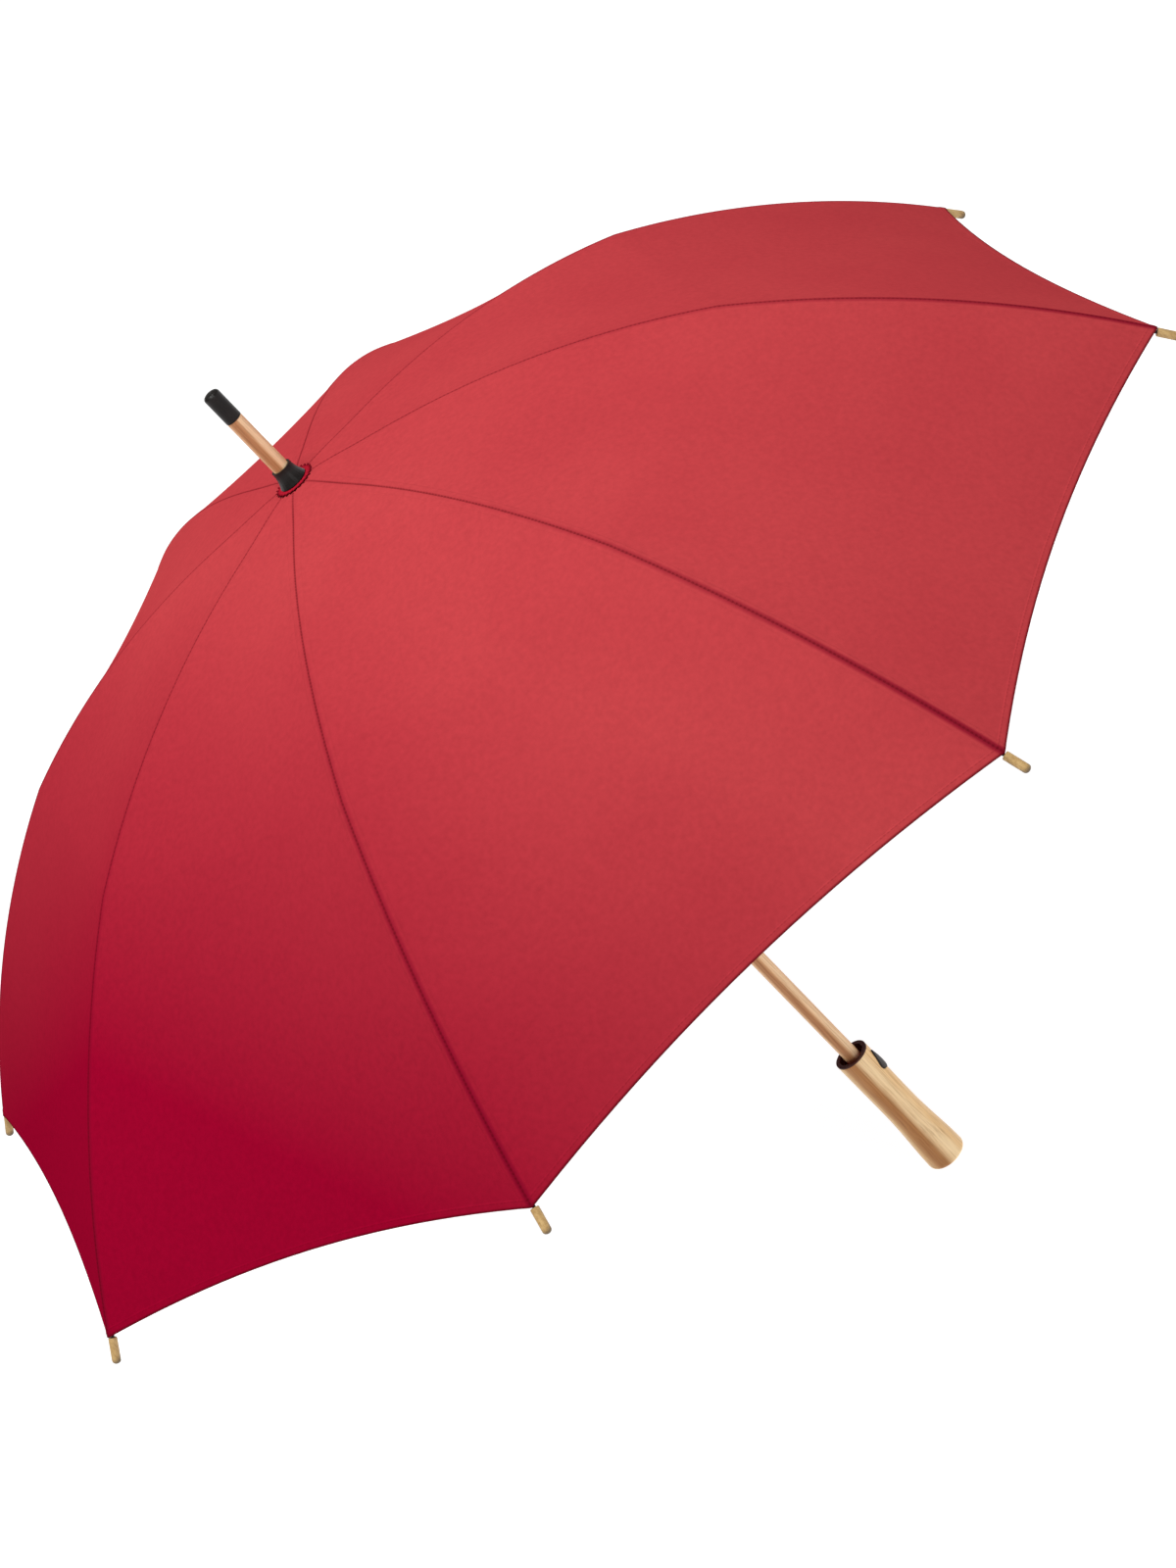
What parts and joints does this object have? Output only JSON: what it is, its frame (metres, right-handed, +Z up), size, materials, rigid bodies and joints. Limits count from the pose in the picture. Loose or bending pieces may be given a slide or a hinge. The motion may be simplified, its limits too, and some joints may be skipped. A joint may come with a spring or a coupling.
{
  "type": "stick umbrella",
  "caption": "Automatic stick umbrella with a panelled cloth canopy, bamboo shaft and grip, folding ribs, sliding runner and push-button release.",
  "frame": {"origin": "centre of the handle's flat end face, on the shaft's axis", "axes": "+Z up along the shaft towards the ferrule; +X lies in the middle of a panel, 22.5 degrees from the rib that the release button is under"},
  "size_m": [0.984, 0.984, 0.822],
  "materials": {
    "canopy_cloth": "fine plain-weave pongee cloth, soft satin sheen",
    "bamboo": "straight-grained bamboo, clear satin lacquer",
    "tip_wood": "turned bare wood",
    "black_plastic": "moulded black plastic, soft gloss",
    "cup_plastic": "dark brown moulded plastic",
    "fibreglass": "black pultruded fibreglass rod",
    "frame_steel": "black lacquered steel",
    "bright_steel": "zinc plated steel wire and sheet"
  },
  "bodies": {
    "root": {"shaft": "bamboo", "handle": "bamboo", "cup_liner": "cup_plastic", "spring_plug": "black_plastic", "opening_spring": "bright_steel", "runner_stop": "black_plastic", "notch": "black_plastic", "notch_wire": "bright_steel", "canopy": "canopy_cloth", "rosette": "canopy_cloth", "canopy_cap": "black_plastic", "ferrule_cap": "black_plastic", "release_spring": "bright_steel"},
    "release": {"release_button": "black_plastic", "release_catch": "bright_steel"},
    "runner": {"runner": "black_plastic", "runner_wire": "bright_steel", "spring_driver": "bright_steel"},
    "rib_1": {"rib_1_inner": "fibreglass", "rib_1_joint": "frame_steel"},
    "rib_1_end": {"rib_1_outer": "fibreglass", "rib_1_tip": "tip_wood"},
    "strut_1": {"stretcher_1": "frame_steel"},
    "rib_2": {"rib_2_inner": "fibreglass", "rib_2_joint": "frame_steel"},
    "rib_2_end": {"rib_2_outer": "fibreglass", "rib_2_tip": "tip_wood"},
    "strut_2": {"stretcher_2": "frame_steel"},
    "rib_3": {"rib_3_inner": "fibreglass", "rib_3_joint": "frame_steel"},
    "rib_3_end": {"rib_3_outer": "fibreglass", "rib_3_tip": "tip_wood"},
    "strut_3": {"stretcher_3": "frame_steel"},
    "rib_4": {"rib_4_inner": "fibreglass", "rib_4_joint": "frame_steel"},
    "rib_4_end": {"rib_4_outer": "fibreglass", "rib_4_tip": "tip_wood"},
    "strut_4": {"stretcher_4": "frame_steel"},
    "rib_5": {"rib_5_inner": "fibreglass", "rib_5_joint": "frame_steel"},
    "rib_5_end": {"rib_5_outer": "fibreglass", "rib_5_tip": "tip_wood"},
    "strut_5": {"stretcher_5": "frame_steel"},
    "rib_6": {"rib_6_inner": "fibreglass", "rib_6_joint": "frame_steel"},
    "rib_6_end": {"rib_6_outer": "fibreglass", "rib_6_tip": "tip_wood"},
    "strut_6": {"stretcher_6": "frame_steel"},
    "rib_7": {"rib_7_inner": "fibreglass", "rib_7_joint": "frame_steel"},
    "rib_7_end": {"rib_7_outer": "fibreglass", "rib_7_tip": "tip_wood"},
    "strut_7": {"stretcher_7": "frame_steel"},
    "rib_8": {"rib_8_inner": "fibreglass", "rib_8_joint": "frame_steel"},
    "rib_8_end": {"rib_8_outer": "fibreglass", "rib_8_tip": "tip_wood"},
    "strut_8": {"stretcher_8": "frame_steel"}
  },
  "joints": [
    {"name": "canopy_fold", "type": "hinge", "parent": "root", "child": "rib_1", "pos_m": [0.01109, 0.00459, 0.729], "axis": [-0.3827, 0.9239, 0], "range_deg": [0, 70], "stiffness_Nm_per_rad": 0.5, "springref_deg": -114.59, "deforming": ["canopy", "opening_spring"]},
    {"name": "rib_2_hinge", "type": "hinge", "parent": "root", "child": "rib_2", "pos_m": [0.00459, 0.01109, 0.729], "axis": [-0.9239, 0.3827, 0], "range_deg": [0, 70]},
    {"name": "rib_3_hinge", "type": "hinge", "parent": "root", "child": "rib_3", "pos_m": [-0.00459, 0.01109, 0.729], "axis": [-0.9239, -0.3827, 0], "range_deg": [0, 70]},
    {"name": "rib_4_hinge", "type": "hinge", "parent": "root", "child": "rib_4", "pos_m": [-0.01109, 0.00459, 0.729], "axis": [-0.3827, -0.9239, 0], "range_deg": [0, 70]},
    {"name": "rib_5_hinge", "type": "hinge", "parent": "root", "child": "rib_5", "pos_m": [-0.01109, -0.00459, 0.729], "axis": [0.3827, -0.9239, 0], "range_deg": [0, 70]},
    {"name": "rib_6_hinge", "type": "hinge", "parent": "root", "child": "rib_6", "pos_m": [-0.00459, -0.01109, 0.729], "axis": [0.9239, -0.3827, 0], "range_deg": [0, 70]},
    {"name": "rib_7_hinge", "type": "hinge", "parent": "root", "child": "rib_7", "pos_m": [0.00459, -0.01109, 0.729], "axis": [0.9239, 0.3827, 0], "range_deg": [0, 70]},
    {"name": "rib_8_hinge", "type": "hinge", "parent": "root", "child": "rib_8", "pos_m": [0.01109, -0.00459, 0.729], "axis": [0.3827, 0.9239, 0], "range_deg": [0, 70]},
    {"name": "rib_1_flex", "type": "hinge", "parent": "rib_1", "child": "rib_1_end", "pos_m": [0.28051, 0.11619, 0.65737], "axis": [-0.3827, 0.9239, 0], "range_deg": [-17.5, 0]},
    {"name": "stretcher_1_pin", "type": "hinge", "parent": "rib_1", "child": "strut_1", "pos_m": [0.27798, 0.11514, 0.65203], "axis": [-0.3827, 0.9239, 0], "range_deg": [-140, 0]},
    {"name": "rib_2_flex", "type": "hinge", "parent": "rib_2", "child": "rib_2_end", "pos_m": [0.11619, 0.28051, 0.65737], "axis": [-0.9239, 0.3827, 0], "range_deg": [-17.5, 0]},
    {"name": "stretcher_2_pin", "type": "hinge", "parent": "rib_2", "child": "strut_2", "pos_m": [0.11514, 0.27798, 0.65203], "axis": [-0.9239, 0.3827, 0], "range_deg": [-140, 0]},
    {"name": "rib_3_flex", "type": "hinge", "parent": "rib_3", "child": "rib_3_end", "pos_m": [-0.11619, 0.28051, 0.65737], "axis": [-0.9239, -0.3827, 0], "range_deg": [-17.5, 0]},
    {"name": "stretcher_3_pin", "type": "hinge", "parent": "rib_3", "child": "strut_3", "pos_m": [-0.11514, 0.27798, 0.65203], "axis": [-0.9239, -0.3827, 0], "range_deg": [-140, 0]},
    {"name": "rib_4_flex", "type": "hinge", "parent": "rib_4", "child": "rib_4_end", "pos_m": [-0.28051, 0.11619, 0.65737], "axis": [-0.3827, -0.9239, 0], "range_deg": [-17.5, 0]},
    {"name": "stretcher_4_pin", "type": "hinge", "parent": "rib_4", "child": "strut_4", "pos_m": [-0.27798, 0.11514, 0.65203], "axis": [-0.3827, -0.9239, 0], "range_deg": [-140, 0]},
    {"name": "rib_5_flex", "type": "hinge", "parent": "rib_5", "child": "rib_5_end", "pos_m": [-0.28051, -0.11619, 0.65737], "axis": [0.3827, -0.9239, 0], "range_deg": [-17.5, 0]},
    {"name": "stretcher_5_pin", "type": "hinge", "parent": "rib_5", "child": "strut_5", "pos_m": [-0.27798, -0.11514, 0.65203], "axis": [0.3827, -0.9239, 0], "range_deg": [-140, 0]},
    {"name": "rib_6_flex", "type": "hinge", "parent": "rib_6", "child": "rib_6_end", "pos_m": [-0.11619, -0.28051, 0.65737], "axis": [0.9239, -0.3827, 0], "range_deg": [-17.5, 0]},
    {"name": "stretcher_6_pin", "type": "hinge", "parent": "rib_6", "child": "strut_6", "pos_m": [-0.11514, -0.27798, 0.65203], "axis": [0.9239, -0.3827, 0], "range_deg": [-140, 0]},
    {"name": "rib_7_flex", "type": "hinge", "parent": "rib_7", "child": "rib_7_end", "pos_m": [0.11619, -0.28051, 0.65737], "axis": [0.9239, 0.3827, 0], "range_deg": [-17.5, 0]},
    {"name": "stretcher_7_pin", "type": "hinge", "parent": "rib_7", "child": "strut_7", "pos_m": [0.11514, -0.27798, 0.65203], "axis": [0.9239, 0.3827, 0], "range_deg": [-140, 0]},
    {"name": "rib_8_flex", "type": "hinge", "parent": "rib_8", "child": "rib_8_end", "pos_m": [0.28051, -0.11619, 0.65737], "axis": [0.3827, 0.9239, 0], "range_deg": [-17.5, 0]},
    {"name": "stretcher_8_pin", "type": "hinge", "parent": "rib_8", "child": "strut_8", "pos_m": [0.27798, -0.11514, 0.65203], "axis": [0.3827, 0.9239, 0], "range_deg": [-140, 0]},
    {"name": "runner_ride", "type": "hinge", "parent": "strut_1", "child": "runner", "pos_m": [0.01109, 0.00459, 0.57506], "axis": [-0.3827, 0.9239, 0], "range_deg": [0, 70]},
    {"name": "button_press", "type": "slide", "parent": "root", "child": "release", "axis": [-0.9239, 0.3827, 0], "range_m": [0, 0.002], "stiffness_N_per_m": 400, "springref_m": -0.0006, "deforming": ["release_spring"]}
  ],
  "couplings": [
    {"joint": "rib_2_hinge", "follows": "canopy_fold", "ratio": 1},
    {"joint": "rib_3_hinge", "follows": "canopy_fold", "ratio": 1},
    {"joint": "rib_4_hinge", "follows": "canopy_fold", "ratio": 1},
    {"joint": "rib_5_hinge", "follows": "canopy_fold", "ratio": 1},
    {"joint": "rib_6_hinge", "follows": "canopy_fold", "ratio": 1},
    {"joint": "rib_7_hinge", "follows": "canopy_fold", "ratio": 1},
    {"joint": "rib_8_hinge", "follows": "canopy_fold", "ratio": 1},
    {"joint": "rib_1_flex", "follows": "canopy_fold", "ratio": -0.25},
    {"joint": "stretcher_1_pin", "follows": "canopy_fold", "ratio": -2},
    {"joint": "rib_2_flex", "follows": "canopy_fold", "ratio": -0.25},
    {"joint": "stretcher_2_pin", "follows": "canopy_fold", "ratio": -2},
    {"joint": "rib_3_flex", "follows": "canopy_fold", "ratio": -0.25},
    {"joint": "stretcher_3_pin", "follows": "canopy_fold", "ratio": -2},
    {"joint": "rib_4_flex", "follows": "canopy_fold", "ratio": -0.25},
    {"joint": "stretcher_4_pin", "follows": "canopy_fold", "ratio": -2},
    {"joint": "rib_5_flex", "follows": "canopy_fold", "ratio": -0.25},
    {"joint": "stretcher_5_pin", "follows": "canopy_fold", "ratio": -2},
    {"joint": "rib_6_flex", "follows": "canopy_fold", "ratio": -0.25},
    {"joint": "stretcher_6_pin", "follows": "canopy_fold", "ratio": -2},
    {"joint": "rib_7_flex", "follows": "canopy_fold", "ratio": -0.25},
    {"joint": "stretcher_7_pin", "follows": "canopy_fold", "ratio": -2},
    {"joint": "rib_8_flex", "follows": "canopy_fold", "ratio": -0.25},
    {"joint": "stretcher_8_pin", "follows": "canopy_fold", "ratio": -2},
    {"joint": "runner_ride", "follows": "canopy_fold", "ratio": 1}
  ]
}
